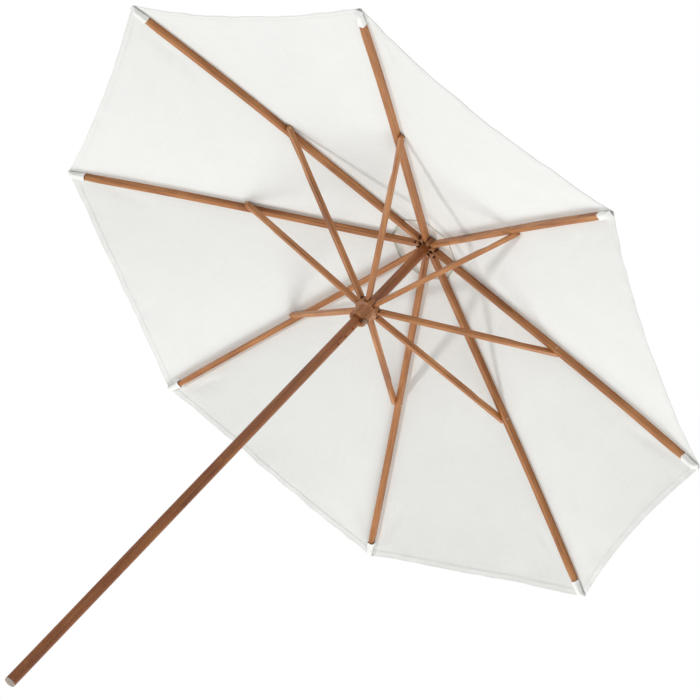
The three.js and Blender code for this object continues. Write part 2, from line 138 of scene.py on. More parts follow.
ahead = Vector((math.sin(HEADING) * math.cos(RISE), math.cos(HEADING) * math.cos(RISE), math.sin(RISE)))
level = Vector((math.cos(HEADING), -math.sin(HEADING), 0))
upright = level.cross(ahead)
up = upright * math.cos(ROLL) - level * math.sin(ROLL)
right = ahead.cross(up)
turn = Matrix((right, up, -ahead)).transposed()
camera = bpy.data.objects.new("camera", bpy.data.cameras.new("camera"))
camera.data.lens = LENS
camera.data.sensor_width = 36
camera.matrix_world = Matrix.Translation(AIM - ahead * DISTANCE) @ turn.to_4x4()
bpy.context.scene.collection.objects.link(camera)
bpy.context.scene.camera = camera
print("camera at", [round(v, 3) for v in camera.matrix_world.translation])

# %% [markdown]
# ## Stage and light
# The floor is a pale plane under the pole. The camera is below it, so its underside lets the view through.
# It casts no shadow either, so that two lights can stand below it and shine up into the canopy. The small
# key light draws the shadows of the struts, and the large fill light softens them. The world is white to
# look at and gives an even, weaker light from all round.

# %% Floor, world and lights
FLOOR_HALF = 40.0
FLOOR_DROP = 0.0015


def floor_finish():
    material = bpy.data.materials.new("pale_floor")
    material.use_nodes = True
    nodes, links = material.node_tree.nodes, material.node_tree.links
    shader = nodes["Principled BSDF"]
    shader.inputs["Base Color"].default_value = (0.86, 0.86, 0.85, 1)
    shader.inputs["Roughness"].default_value = 0.9
    clear = nodes.new("ShaderNodeBsdfTransparent")
    side = nodes.new("ShaderNodeNewGeometry")
    mix = nodes.new("ShaderNodeMixShader")
    links.new(side.outputs["Backfacing"], mix.inputs[0])
    links.new(shader.outputs[0], mix.inputs[1])
    links.new(clear.outputs[0], mix.inputs[2])
    links.new(mix.outputs[0], nodes["Material Output"].inputs["Surface"])
    return material


floor_bm = bmesh.new()
bmesh.ops.create_grid(floor_bm, x_segments=1, y_segments=1, size=FLOOR_HALF)
bmesh.ops.translate(floor_bm, verts=floor_bm.verts, vec=(0, 0, -FLOOR_DROP))
floor_mesh = bpy.data.meshes.new("floor")
floor_bm.to_mesh(floor_mesh)
floor_bm.free()
floor_mesh.materials.append(floor_finish())
floor = bpy.data.objects.new("floor", floor_mesh)
bpy.context.scene.collection.objects.link(floor)
floor.visible_shadow = False

SKY = 0.52
world = bpy.data.worlds.new("studio")
world.use_nodes = True
sky_nodes, sky_links = world.node_tree.nodes, world.node_tree.links
sky_nodes["Background"].inputs["Color"].default_value = (1, 1, 1, 1)
sky_path = sky_nodes.new("ShaderNodeLightPath")
sky_mix = sky_nodes.new("ShaderNodeMapRange")
sky_mix.inputs["To Min"].default_value = SKY
sky_mix.inputs["To Max"].default_value = 1.0
sky_links.new(sky_path.outputs["Is Camera Ray"], sky_mix.inputs["Value"])
sky_links.new(sky_mix.outputs["Result"], sky_nodes["Background"].inputs["Strength"])
bpy.context.scene.world = world
bpy.context.scene.view_settings.view_transform = "Standard"


def soft_light(name, place, target, size, watts):
    light = bpy.data.lights.new(name, "AREA")
    light.shape = "DISK"
    light.size = size
    light.energy = watts
    lamp = bpy.data.objects.new(name, light)
    lamp.location = place
    lamp.rotation_euler = (Vector(target) - Vector(place)).to_track_quat("-Z", "Y").to_euler()
    lamp.visible_camera = False
    bpy.context.scene.collection.objects.link(lamp)


soft_light("key_below", (-2.95, 3.15, -3.3), (0, 0, 2.2), 0.8, 130)
soft_light("fill_below", (6.75, 1.56, -1.8), (0, 0, 2.2), 5.0, 320)
soft_light("overhead", (1.5, -2.5, 6.5), (0, 0, 1.2), 3.0, 180)

# %% [markdown]
# ## Node helpers
# A shader group is built once, with named inputs and outputs, and then placed in every material that needs
# it. The helpers below only save typing: one adds a node with its settings, one opens a new group.

# %% Node helpers
def put(tree, kind, values=None, **settings):
    node = tree.nodes.new(kind)
    for key, value in settings.items():
        setattr(node, key, value)
    for key, value in (values or {}).items():
        if isinstance(value, bpy.types.NodeSocket):
            tree.links.new(value, node.inputs[key])
        else:
            node.inputs[key].default_value = value
    return node


def open_group(name, inputs, outputs):
    tree = bpy.data.node_groups.new(name, "ShaderNodeTree")
    for label, kind, value in inputs:
        socket = tree.interface.new_socket(label, in_out="INPUT", socket_type=kind)
        if value is not None:
            socket.default_value = value
    for label, kind in outputs:
        tree.interface.new_socket(label, in_out="OUTPUT", socket_type=kind)
    return tree, tree.nodes.new("NodeGroupInput").outputs, tree.nodes.new("NodeGroupOutput").inputs


def stretch(tree, vector, factors):
    return put(tree, "ShaderNodeVectorMath", {0: vector, 1: factors}, operation="MULTIPLY").outputs[0]


def speckle(tree, vector, scale, detail=3.0, roughness=0.55, distortion=0.0):
    values = {"Vector": vector, "Scale": scale, "Detail": detail, "Roughness": roughness}
    values["Distortion"] = distortion
    return put(tree, "ShaderNodeTexNoise", values).outputs["Fac"]


def span(tree, value, low, high, to_low=0.0, to_high=1.0):
    values = {"Value": value, "From Min": low, "From Max": high, "To Min": to_low, "To Max": to_high}
    return put(tree, "ShaderNodeMapRange", values, interpolation_type="SMOOTHSTEP").outputs["Result"]


def blend_colour(tree, factor, first, second):
    node = put(tree, "ShaderNodeMix", data_type="RGBA")
    for socket, value in ((node.inputs[0], factor), (node.inputs[6], first), (node.inputs[7], second)):
        if isinstance(value, bpy.types.NodeSocket):
            tree.links.new(value, socket)
        else:
            socket.default_value = value
    return node.outputs[2]


def calc(tree, operation, first, second):
    return put(tree, "ShaderNodeMath", {0: first, 1: second}, operation=operation).outputs[0]


# %% [markdown]
# ## Wood grain
# The frame is an oiled reddish-brown hardwood. Its grain runs along each bar: broad bands of lighter and
# darker wood, fine fibres, and short dark pores. The group takes coordinates whose X runs along the grain,
# so the same group serves a bar, where X is the length in its UV map, and a turned piece, where X is turned
# onto its axis.

# %% The grain group
def grain_group():
    tree, given, result = open_group(
        "long_grain",
        [
            ("Vector", "NodeSocketVector", None),
            ("Light", "NodeSocketColor", (0.5, 0.25, 0.12, 1)),
            ("Middle", "NodeSocketColor", (0.33, 0.13, 0.055, 1)),
            ("Dark", "NodeSocketColor", (0.16, 0.055, 0.022, 1)),
        ],
        [("Color", "NodeSocketColor"), ("Roughness", "NodeSocketFloat"), ("Height", "NodeSocketFloat")],
    )
    along = stretch(tree, given["Vector"], (0.05, 1, 1))
    bands = speckle(tree, along, 70, 3, 0.55, 0.8)
    fibres = speckle(tree, along, 420, 4, 0.65)
    pores = span(tree, speckle(tree, stretch(tree, given["Vector"], (0.03, 1, 1)), 900, 2), 0.60, 0.72)
    mottle = speckle(tree, given["Vector"], 5, 2)
    tone = calc(tree, "ADD", calc(tree, "MULTIPLY", bands, 0.5), calc(tree, "MULTIPLY", fibres, 0.22))
    tone = calc(tree, "ADD", tone, calc(tree, "MULTIPLY", mottle, 0.28))
    lower = blend_colour(tree, span(tree, tone, 0.34, 0.5), given["Dark"], given["Middle"])
    whole = blend_colour(tree, span(tree, tone, 0.48, 0.66), lower, given["Light"])
    flecked = blend_colour(tree, calc(tree, "MULTIPLY", pores, 0.45), whole, given["Dark"])
    tree.links.new(flecked, result["Color"])
    tree.links.new(span(tree, fibres, 0.3, 0.7, 0.4, 0.56), result["Roughness"])
    tree.links.new(calc(tree, "SUBTRACT", fibres, pores), result["Height"])
    return tree


GRAIN = grain_group()
print("group", GRAIN.name, len(GRAIN.nodes), "nodes")

# %% [markdown]
# ## Canvas weave
# The canopy is a plain-woven canvas. Warp and weft cross about once a millimetre, some threads are thicker
# than others, and the cloth has a faint cloudy unevenness. The group reads a UV map that is laid out in
# metres.

# %% The weave group
THREAD_PITCH = 0.0011


def weave_group():
    tree, given, result = open_group(
        "canvas_weave",
        [
            ("Vector", "NodeSocketVector", None),
            ("Cloth", "NodeSocketColor", (0.86, 0.85, 0.81, 1)),
            ("Shade", "NodeSocketColor", (0.77, 0.765, 0.72, 1)),
        ],
        [("Color", "NodeSocketColor"), ("Roughness", "NodeSocketFloat"), ("Height", "NodeSocketFloat")],
    )
    turning = {0: given["Vector"], "Scale": 2 * math.pi / THREAD_PITCH}
    turns = put(tree, "ShaderNodeVectorMath", turning, operation="SCALE")
    parts = put(tree, "ShaderNodeSeparateXYZ", {0: turns.outputs[0]})
    warp = calc(tree, "SINE", parts.outputs[0], 0)
    weft = calc(tree, "SINE", parts.outputs[1], 0)
    cross = calc(tree, "MULTIPLY", warp, weft)
    slubs_one = speckle(tree, stretch(tree, given["Vector"], (1, 0.02, 1)), 260, 2)
    slubs_two = speckle(tree, stretch(tree, given["Vector"], (0.02, 1, 1)), 240, 2)
    slubs = calc(tree, "ADD", slubs_one, slubs_two)
    cloudy = speckle(tree, given["Vector"], 7, 3)
    thick = calc(tree, "MULTIPLY", span(tree, slubs, 0.8, 1.2), 0.3)
    worn = calc(tree, "ADD", thick, calc(tree, "MULTIPLY", cloudy, 0.5))
    tree.links.new(blend_colour(tree, worn, given["Cloth"], given["Shade"]), result["Color"])
    tree.links.new(span(tree, cross, -1, 1, 0.82, 0.95), result["Roughness"])
    tree.links.new(calc(tree, "ADD", calc(tree, "MULTIPLY", cross, 0.5), slubs), result["Height"])
    return tree


WEAVE = weave_group()
print("group", WEAVE.name, len(WEAVE.nodes), "nodes")

# %% [markdown]
# ## Metal surface
# The pins and wires are plain drawn metal: fine scratches along the piece and a cloudy bloom where it has
# been touched. One group gives the colour, the roughness and the scratches for both brass and steel.

# %% The metal group
def metal_group():
    tree, given, result = open_group(
        "drawn_metal",
        [
            ("Vector", "NodeSocketVector", None),
            ("Metal", "NodeSocketColor", (0.7, 0.6, 0.4, 1)),
            ("Bloom", "NodeSocketColor", (0.35, 0.28, 0.16, 1)),
        ],
        [("Color", "NodeSocketColor"), ("Roughness", "NodeSocketFloat"), ("Height", "NodeSocketFloat")],
    )
    cloudy = span(tree, speckle(tree, given["Vector"], 130, 4), 0.42, 0.7)
    scratches = speckle(tree, stretch(tree, given["Vector"], (1, 1, 0.04)), 1600, 2)
    tree.links.new(blend_colour(tree, cloudy, given["Metal"], given["Bloom"]), result["Color"])
    clouded = calc(tree, "MULTIPLY", cloudy, 0.2)
    rough = calc(tree, "ADD", clouded, span(tree, scratches, 0.3, 0.7, 0.24, 0.36))
    tree.links.new(rough, result["Roughness"])
    tree.links.new(scratches, result["Height"])
    return tree


METAL = metal_group()
print("group", METAL.name, len(METAL.nodes), "nodes")

# %% [markdown]
# ## Materials
# Each finish is a Principled shader fed by one of the groups: colour, roughness and a small bump. Bars read
# their own UV map. Turned pieces read Object coordinates, turned so that X is the pole's axis.

# %% Material makers
def coordinates(tree, source):
    if source == "uv":
        return put(tree, "ShaderNodeUVMap", uv_map="grain").outputs[0]
    place = put(tree, "ShaderNodeTexCoord").outputs["Object"]
    if source == "plain":
        return place
    return put(tree, "ShaderNodeMapping", {"Vector": place, "Rotation": (0, math.pi / 2, 0)}).outputs[0]


def finish(name, group, source, colours, bump, distance, metallic=0.0, coat=0.0, sheen=0.0):
    material = bpy.data.materials.new(name)
    material.use_nodes = True
    tree = material.node_tree
    shader = tree.nodes["Principled BSDF"]
    surface = put(tree, "ShaderNodeGroup", node_tree=group)
    tree.links.new(coordinates(tree, source), surface.inputs["Vector"])
    for label, colour in colours.items():
        surface.inputs[label].default_value = (*colour, 1)
    raised = {"Strength": bump, "Distance": distance, "Height": surface.outputs["Height"]}
    relief = put(tree, "ShaderNodeBump", raised)
    tree.links.new(surface.outputs["Color"], shader.inputs["Base Color"])
    tree.links.new(surface.outputs["Roughness"], shader.inputs["Roughness"])
    tree.links.new(relief.outputs[0], shader.inputs["Normal"])
    shader.inputs["Metallic"].default_value = metallic
    shader.inputs["Coat Weight"].default_value = coat
    shader.inputs["Coat Roughness"].default_value = 0.35
    shader.inputs["Sheen Weight"].default_value = sheen
    shader.inputs["Sheen Roughness"].default_value = 0.6
    return material


# %% [markdown]
# ## The finishes
# Every colour is a reflectance in linear light, two or three for each finish, and the groups mix between
# them. The bars are lighter than the pole. The sawn faces in the slots are darker than both: partly because
# oil soaks into end grain, and partly as painted shade, because little light reaches them. Daylight comes
# through the thin vent cap. Letting light pass through the shader would need thin-walled cloth, so a faint
# glow of the cap's own stands for it, and the cap's cloth has a lighter colour than the canopy's, which is
# painted light as well.

# %% The finishes
BAR_WOOD = {"Light": (0.61, 0.28, 0.105), "Middle": (0.43, 0.17, 0.053), "Dark": (0.20, 0.062, 0.017)}
POLE_WOOD = {"Light": (0.42, 0.155, 0.045), "Middle": (0.30, 0.096, 0.025), "Dark": (0.15, 0.042, 0.012)}
TURNED_WOOD = {"Light": (0.50, 0.23, 0.09), "Middle": (0.34, 0.13, 0.042), "Dark": (0.15, 0.048, 0.016)}
# Sawn wood: darker end grain, and darker still as painted shade for faces deep in the slots.
SAWN_WOOD_AND_SHADE = {"Light": (0.13, 0.05, 0.022), "Middle": (0.085, 0.03, 0.013), "Dark": (0.04, 0.014, 0.007)}
CANVAS = {"Cloth": (0.86, 0.87, 0.85), "Shade": (0.79, 0.80, 0.78)}
TAPE = {"Cloth": (0.92, 0.92, 0.895), "Shade": (0.86, 0.86, 0.83)}
# The vent binding's grey-green is darkened as painted shade for the gap under the vent cap.
TRIM_AND_SHADE = {"Cloth": (0.56, 0.57, 0.50), "Shade": (0.44, 0.45, 0.38)}
POCKET_CLOTH = {"Cloth": (0.96, 0.96, 0.945), "Shade": (0.91, 0.91, 0.89)}
# The vent cap's cloth is lighter than the canopy's canvas: painted light, standing with its glow for daylight
# through the cap.
CAP_CLOTH_PAINTED_LIGHT = {"Cloth": (0.93, 0.935, 0.91), "Shade": (0.87, 0.875, 0.845)}
SEWING_THREAD = {"Cloth": (0.74, 0.74, 0.70), "Shade": (0.6, 0.6, 0.56)}
BRASS = {"Metal": (0.74, 0.62, 0.42), "Bloom": (0.42, 0.33, 0.2)}
BRONZE = {"Metal": (0.40, 0.27, 0.18), "Bloom": (0.16, 0.10, 0.07)}
STEEL = {"Metal": (0.62, 0.62, 0.63), "Bloom": (0.35, 0.34, 0.33)}
CAP_GLOW = 0.16
CAP_GLOW_COLOUR = (0.95, 1.0, 0.94, 1)

bar_wood = finish("bar_wood", GRAIN, "uv", BAR_WOOD, 0.25, 0.0004, coat=0.12)
pole_wood = finish("pole_wood", GRAIN, "axis", POLE_WOOD, 0.25, 0.0004, coat=0.15)
turned_wood = finish("turned_wood", GRAIN, "axis", TURNED_WOOD, 0.25, 0.0004, coat=0.12)
# The sawn wood's dark colour is partly painted shade for the slots.
sawn_wood_and_shade = finish("sawn_wood_and_shade", GRAIN, "axis", SAWN_WOOD_AND_SHADE, 0.3, 0.0004)
# A lighter copy of the canvas for the vent cap: painted light, with a glow for daylight through it.
cap_canvas_painted_light = finish("cap_canvas_painted_light", WEAVE, "uv", CAP_CLOTH_PAINTED_LIGHT, 0.35, 0.0002, sheen=0.1)
cap_shader = cap_canvas_painted_light.node_tree.nodes["Principled BSDF"]
cap_shader.inputs["Emission Color"].default_value = CAP_GLOW_COLOUR
cap_shader.inputs["Emission Strength"].default_value = CAP_GLOW
canvas = finish("canvas", WEAVE, "uv", CANVAS, 0.35, 0.0002, sheen=0.1)
tape = finish("seam_tape", WEAVE, "uv", TAPE, 0.4, 0.0002)
trim_and_shade = finish("vent_trim_and_shade", WEAVE, "uv", TRIM_AND_SHADE, 0.4, 0.0002)
pocket_cloth = finish("pocket_cloth", WEAVE, "uv", POCKET_CLOTH, 0.4, 0.0002, sheen=0.1)
brass = finish("brass", METAL, "plain", BRASS, 0.1, 0.0001, 1.0)
bronze = finish("bronze", METAL, "plain", BRONZE, 0.1, 0.0001, 1.0)
steel = finish("steel", METAL, "plain", STEEL, 0.1, 0.0001, 1.0)
thread = finish("thread", WEAVE, "plain", SEWING_THREAD, 0.2, 0.0001)
print("materials:", len(bpy.data.materials))

# %% [markdown]
# ## Moulded plastic
# The foot plug is a moulded plastic: almost even in colour, with a fine pebbled skin and scuffs where it
# has stood on stone. It has no grain or weave, so it gets its own short material.

# %% Moulded plastic
def plastic_finish():
    material = bpy.data.materials.new("foot_plastic")
    material.use_nodes = True
    tree = material.node_tree
    shader = tree.nodes["Principled BSDF"]
    place = put(tree, "ShaderNodeTexCoord").outputs["Object"]
    pebbles = speckle(tree, place, 1400, 2)
    scuffs = span(tree, speckle(tree, place, 160, 5, 0.7), 0.5, 0.75)
    colour = blend_colour(tree, scuffs, (0.56, 0.50, 0.46, 1), (0.36, 0.31, 0.28, 1))
    relief = put(tree, "ShaderNodeBump", {"Strength": 0.3, "Distance": 0.0002, "Height": pebbles})
    tree.links.new(colour, shader.inputs["Base Color"])
    tree.links.new(span(tree, scuffs, 0, 1, 0.45, 0.7), shader.inputs["Roughness"])
    tree.links.new(relief.outputs[0], shader.inputs["Normal"])
    return material


plastic = plastic_finish()
print("material", plastic.name)

# %% [markdown]
# ## Rounding what the frame already shapes
# Pole, ribs, struts, pins and wires already have their true shape in the frame. A copy of each is merged,
# its flat facets are dissolved into whole faces, and its sharp edges are bevelled, as sandpaper would leave
# them.

# %% Copies with rounded edges
SHARP = math.radians(28)
FLAT = math.radians(0.5)
EASE_SEGMENTS = 2


def rounded_copy(node, ease):
    bm = bmesh.new()
    bm.from_mesh(frame["nodes"][node].data)
    bmesh.ops.remove_doubles(bm, verts=bm.verts, dist=2e-6)
    bmesh.ops.dissolve_limit(bm, angle_limit=FLAT, verts=bm.verts, edges=bm.edges)
    edges = [e for e in bm.edges if len(e.link_faces) == 2 and e.calc_face_angle(0) > SHARP]
    bmesh.ops.bevel(
        bm, geom=edges, offset=ease, offset_type="OFFSET", segments=EASE_SEGMENTS, profile=0.5,
        affect="EDGES", material=-1, clamp_overlap=True,
    )
    return bm


# %% [markdown]
# ## Grain along a bar
# A bar's UV map has the length along the bar as U and the way round its section as V, both in metres, so
# that the grain runs on from face to face. Unwrapping by hand would do the same for one bar. Working it out
# from the bar's direction does all sixteen, and each starts somewhere else on the plank, so that no two
# match.

# %% Grain maps for bars
def map_bar(bm, start, along, seed):
    uv = bm.loops.layers.uv.new("grain")
    across = along.cross(Vector((0, 0, 1))).normalized()
    over = across.cross(along)
    pick = random.Random(seed)
    shift = Vector((pick.uniform(0, 40), pick.uniform(0, 9)))
    for face in bm.faces:
        flat_face = abs(face.normal.dot(over)) > abs(face.normal.dot(across))
        for loop in face.loops:
            offset = loop.vert.co - start
            side = offset.dot(across) if flat_face else offset.dot(over) + 0.05
            loop[uv].uv = shift + Vector((offset.dot(along), side))


def bar_direction(number, rising):
    return outwards(number) * math.cos(SLOPE) + Vector((0, 0, math.sin(SLOPE) * rising))


# %% [markdown]
# ## Ribs and struts
# Eight ribs carry the cloth, and eight struts hold them up from the runner. Each bar is a straight stick
# whose ends are thinned to fit a slot, so its shape comes from the frame as it is. Only its edges are
# eased, and the faces of the thinned end, which sit deep in the slot, take the darker sawn wood: painted
# shade for the depth of the slot.

# %% Ribs and struts
BAR_EASE = 0.0016
TENON_LENGTH = 0.013


def bar(node, body, number, rising, seed):
    bm = rounded_copy(node, BAR_EASE)
    start = outwards(number) * PIVOT_RADIUS
    start.z = RUNNER_Z if rising > 0 else HUB_Z
    map_bar(bm, start, bar_direction(number, rising), seed)
    # Faces of the thinned end take the dark sawn wood, painted shade for the depth of the slot.
    for face in bm.faces:
        if (face.calc_center_median() - start).dot(bar_direction(number, rising)) < TENON_LENGTH:
            face.material_index = 1
    piece = to_piece(bm, f"{node}_wood", bar_wood, body, inner=sawn_wood_and_shade)
    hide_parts(node)
    return piece


for number in range(1, RIBS + 1):
    bar(f"rib_{number}", f"rib_{number}", number, -1, number)
    bar(f"strut_{number}", f"strut_{number}", number, 1, 20 + number)
print("bars:", 2 * RIBS)

# %% [markdown]
# ## Pole, pins and wires
# The pole is one turned stick with holes for the lock pin. The ribs turn on a steel wire in the hub, the
# struts on another in the runner, and a brass pin joins each strut to its rib. All of these are right in
# the frame, so they are copied with eased edges and given their finish.

# %% Pole, pins and wires
def smooth_piece(node, body, material, ease):
    piece = to_piece(rounded_copy(node, ease), f"{node}_smooth", material, body)
    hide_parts(node)
    return piece


smooth_piece("pole", "pole", pole_wood, 0.0008)
smooth_piece("foot_cap", "pole", plastic, 0.0006)
smooth_piece("hub_wire", "pole", steel, 0.0002)
smooth_piece("runner_wire", "runner", steel, 0.0002)
smooth_piece("finial_screw", "pole", steel, 0.0004)
smooth_piece("lock_pin", "lock_pin", bronze, 0.0004)
for number in range(1, RIBS + 1):
    smooth_piece(f"strut_pin_{number}", f"rib_{number}", brass, 0.0003)
print("metal and plastic pieces:", 5 + RIBS)

# %% [markdown]
# ## Hub, runner and finial
# These three are turned on a lathe, so each starts as an outline spun round the pole's axis. Hub and runner
# are then sawn: eight slots take the thinned ends of the bars, which leaves a ring of square teeth between
# them.

# %% Turning an outline
TURN_STEPS = 64


def turned(points, height):
    bm = bmesh.new()
    ring = [bm.verts.new((r, 0, height + z)) for r, z in points]
    edges = [bm.edges.new((ring[i], ring[i + 1])) for i in range(len(ring) - 1)]
    bmesh.ops.spin(
        bm, geom=ring + edges, cent=(0, 0, 0), axis=(0, 0, 1), angle=2 * math.pi,
        steps=TURN_STEPS, use_merge=True, use_duplicate=False,
    )
    bmesh.ops.remove_doubles(bm, verts=bm.verts, dist=1e-6)
    bmesh.ops.recalc_face_normals(bm, faces=bm.faces)
    return bm


def arc(centre, radius, start, end, steps):
    """Points of a round stretch of an outline, between two angles in degrees."""
    turns = [math.radians(start + (end - start) * i / steps) for i in range(steps + 1)]
    return [(centre[0] + radius * math.cos(a), centre[1] + radius * math.sin(a)) for a in turns]


# %% [markdown]
# ## Sawing the slots
# Each slot is a straight saw cut towards the middle. Eight boxes are subtracted from the turned blank with
# an exact boolean, which is applied at once, so that the new edges can be bevelled with the rest. A slot's
# walls are found by where they stand, and take the dark sawn wood, partly painted shade for the inside of
# the slot.

# %% Sawing the slots
SLOT_WIDTH = 0.0137
SLOT_SLACK = 0.0006
CUT_LENGTH = 0.06
SAWN_EASE = 0.0008
SAWN_SHARP = math.radians(40)


def in_slot(face):
    """True for a face of a slot's wall: upright, and close beside the middle plane of some bar."""
    middle = face.calc_center_median()
    turn = math.atan2(middle.y, middle.x)
    off = abs(turn - round(turn / SECTOR) * SECTOR) * middle.xy.length
    beside = abs(off - SLOT_WIDTH / 2) < SLOT_SLACK
    outward = Vector((*middle.xy, 0)).normalized()
    return beside and abs(face.normal.z) < 0.3 and abs(face.normal.dot(outward)) < 0.5


def saw_slots(bm, name, inner, low, high, body):
    cutter_bm = bmesh.new()
    for number in range(1, RIBS + 1):
        middle = inner + CUT_LENGTH / 2
        place = Matrix.Rotation(rib_angle(number), 4, "Z") @ Matrix.Translation((middle, 0, (low + high) / 2))
        size = Matrix.Diagonal((CUT_LENGTH, SLOT_WIDTH, high - low, 1))
        bmesh.ops.create_cube(cutter_bm, size=1, matrix=place @ size)
    cutter_mesh = bpy.data.meshes.new("slots")
    cutter_bm.to_mesh(cutter_mesh)
    cutter_bm.free()
    cutter = bpy.data.objects.new("slots", cutter_mesh)
    bpy.context.scene.collection.objects.link(cutter)
    blank_mesh = bpy.data.meshes.new("blank")
    bm.to_mesh(blank_mesh)
    bm.free()
    blank = bpy.data.objects.new("blank", blank_mesh)
    bpy.context.scene.collection.objects.link(blank)
    saw = blank.modifiers.new("saw", "BOOLEAN")
    saw.object = cutter
    saw.operation = "DIFFERENCE"
    saw.solver = "EXACT"
    bpy.context.view_layer.update()
    sawn = bmesh.new()
    sawn.from_object(blank, bpy.context.evaluated_depsgraph_get())
    bpy.data.objects.remove(blank)
    bpy.data.objects.remove(cutter)
    bmesh.ops.remove_doubles(sawn, verts=sawn.verts, dist=1e-6)
    edges = [e for e in sawn.edges if len(e.link_faces) == 2 and e.calc_face_angle(0) > SAWN_SHARP]
    bmesh.ops.bevel(
        sawn, geom=edges, offset=SAWN_EASE, offset_type="OFFSET", segments=2, profile=0.5,
        affect="EDGES", material=-1, clamp_overlap=True,
    )
    # Slot walls take the dark sawn wood, painted shade for the inside of the slot.
    for face in sawn.faces:
        face.material_index = 1 if in_slot(face) else 0
    return to_piece(sawn, name, turned_wood, body, inner=sawn_wood_and_shade)


# %% [markdown]
# ## Hub
# The hub is a thick wooden disc on top of the pole. Its slots open downwards and outwards, and stop below a
# roof that holds the wood together. They are sawn a little deeper than the ribs need, so that dark gaps
# show.

# %% Hub
HUB_RADIUS = 0.041
HUB_BORE = 0.0153
HUB_LOW = -0.015
HUB_ROOF = 0.014
HUB_TOP = 0.024
END_PLAY = 0.0008

hub_outline = (
    [(HUB_BORE, HUB_LOW), (HUB_RADIUS - 0.007, HUB_LOW)]
    + arc((HUB_RADIUS - 0.006, HUB_LOW + 0.006), 0.006, -70, 0, 5)
    + arc((HUB_RADIUS - 0.004, HUB_ROOF + 0.001), 0.004, 0, 55, 4)
    + [(HUB_RADIUS - 0.008, HUB_TOP), (HUB_BORE, HUB_TOP), (HUB_BORE, HUB_LOW)]
)
HUB_SLOT_ROOM = 0.003
hub_slot = PIVOT_RADIUS - RIB_HEIGHT / 2 - END_PLAY - HUB_SLOT_ROOM
hub_blank = turned(hub_outline, HUB_Z)
hub = saw_slots(hub_blank, "hub_turned", hub_slot, HUB_Z + 2 * HUB_LOW, HUB_Z + HUB_ROOF, "pole")
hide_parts("hub")
print("hub faces:", len(hub.data.polygons))

# %% [markdown]
# ## Runner
# The runner slides on the pole: a flange with eight slots for the struts, a narrow waist for the hand, and
# a rounded collar at its lower end. Its slots open upwards, so that the struts can fold up beside the pole.

# %% Runner
RUNNER_RADIUS = 0.044
RUNNER_BORE = 0.020
RUNNER_TOP = 0.013
RUNNER_FLOOR = -0.015
RUNNER_FLANGE = -0.020
WAIST = 0.031
COLLAR = 0.035
RUNNER_LOW = -0.072
STRUT_HEIGHT = 0.020

runner_outline = (
    [(RUNNER_BORE, RUNNER_LOW), (WAIST - 0.002, RUNNER_LOW)]
    + arc((COLLAR - 0.0055, RUNNER_LOW + 0.0055), 0.0055, -75, 0, 5)
    + arc((COLLAR - 0.003, RUNNER_LOW + 0.0095), 0.003, 0, 80, 4)
    + [(WAIST + 0.0004, RUNNER_LOW + 0.0135), (WAIST, RUNNER_LOW + 0.016), (WAIST, RUNNER_FLANGE - 0.013)]
    + arc((WAIST + 0.011, RUNNER_FLANGE - 0.0115), 0.011, 180, 96, 7)
    + arc((RUNNER_RADIUS - 0.003, RUNNER_FLANGE + 0.003), 0.003, -75, 0, 4)
    + arc((RUNNER_RADIUS - 0.005, RUNNER_TOP - 0.005), 0.005, 0, 80, 5)
    + [(RUNNER_BORE, RUNNER_TOP), (RUNNER_BORE, RUNNER_LOW)]
)
runner_slot = PIVOT_RADIUS - STRUT_HEIGHT / 2 - END_PLAY
runner_blank = turned(runner_outline, RUNNER_Z)
SAW_TOP = RUNNER_Z + 0.03
runner = saw_slots(runner_blank, "runner_turned", runner_slot, RUNNER_Z + RUNNER_FLOOR, SAW_TOP, "runner")
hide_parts("runner")
print("runner faces:", len(runner.data.polygons))

# %% [markdown]
# ## Finial
# A turned ball on a foot closes the top. It is one outline: a rounded disc, a hollow neck, a small bead and
# the ball, with arcs for the round stretches, spun like the hub.

# %% Finial
FINIAL_BASE = 0.0261
FINIAL_RADIUS = 0.027
BALL = 0.019
BALL_Z = FINIAL_BASE + 0.074 - BALL - 0.004

finial_outline = (
    [(0.0043, FINIAL_BASE), (FINIAL_RADIUS - 0.003, FINIAL_BASE)]
    + arc((FINIAL_RADIUS - 0.0035, FINIAL_BASE + 0.0035), 0.0035, -80, 80, 8)
    + [(FINIAL_RADIUS - 0.0045, FINIAL_BASE + 0.0085)]
    + arc((0.0228, FINIAL_BASE + 0.0215), 0.0125, 265, 185, 8)
    + arc((0.0108, FINIAL_BASE + 0.0235), 0.0016, -60, 60, 4)
    + arc((0, BALL_Z), BALL, -56, 78, 18)
    + [(0.0022, FINIAL_BASE + 0.0728), (0.0008, FINIAL_BASE + 0.074), (0, FINIAL_BASE + 0.074)]
)
finial_bm = turned(finial_outline, HUB_Z)
finial = to_piece(finial_bm, "finial_turned", turned_wood, "pole")
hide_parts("finial")
print("finial faces:", len(finial.data.polygons))

# %% [markdown]
# ## The canopy as one sheet
# The canvas is sewn from eight panels, pulled over the ribs and held at their ends, so it is one surface:
# ridges over the ribs, and between two ribs a cloth that sags a little and whose hem curves in. One
# function gives every point of that surface. It takes the nearest rib, how far round towards its neighbour
# the point lies, and the distance out. The pieces made from it meet exactly, because they ask the same one.
# A cloth simulation could hang it, but the cloth is pulled tight, so small waves and folds say enough.

# %% The cloth surface
CLOTH_LIFT = 0.0032
SAG = 0.019
HEM_CURVE = 0.028
CORNER_FOLDS = 3
RIPPLE = 0.006
FINE_RIPPLE = 0.0022
HEM_PUCKER = 0.0055
VENT_PUCKER = 0.0030


def bow(distance):
    outer = max(0.0, distance - ARM) / (RIB_LENGTH - ARM)
    return RIB_BOW * outer * outer


def rib_top(radius):
    distance = (radius - PIVOT_RADIUS) / math.cos(SLOPE)
    return HUB_Z + (RIB_HEIGHT / 2 - bow(distance)) / math.cos(SLOPE) - distance * math.sin(SLOPE)


